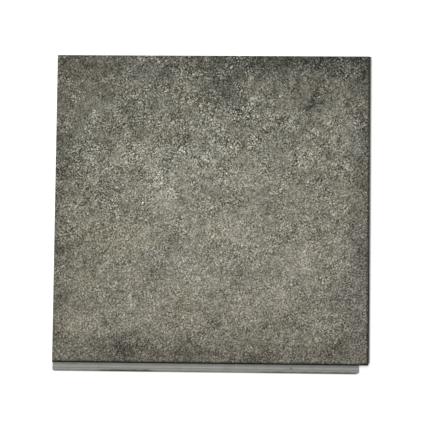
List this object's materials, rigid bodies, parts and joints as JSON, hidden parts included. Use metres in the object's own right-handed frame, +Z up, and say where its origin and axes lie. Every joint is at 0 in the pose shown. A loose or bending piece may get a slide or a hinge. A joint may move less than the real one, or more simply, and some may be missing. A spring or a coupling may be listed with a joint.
{
  "type": "vinyl floor tile",
  "caption": "Square rigid-core vinyl floor tile with a stone-look printed face, painted bevels, a milled locking lip and a matching undercut hook edge.",
  "frame": {"origin": "middle of the footprint, locking lip and nose included, on the underside", "axes": "+X to the right of the face, towards the hook edge; +Y to the back, away from the locking lip; +Z up, out of the printed face"},
  "size_m": [0.3036, 0.3052, 0.006],
  "materials": {
    "grey_core": "matte milled grey core of filled vinyl, with fine tool lines",
    "stone_print": "matte embossed wear coat over a speckled grey-brown stone print, dark paint on the bevels"
  },
  "bodies": {
    "root": {"core_board": "grey_core", "printed_layer": "stone_print"}
  },
  "joints": []
}
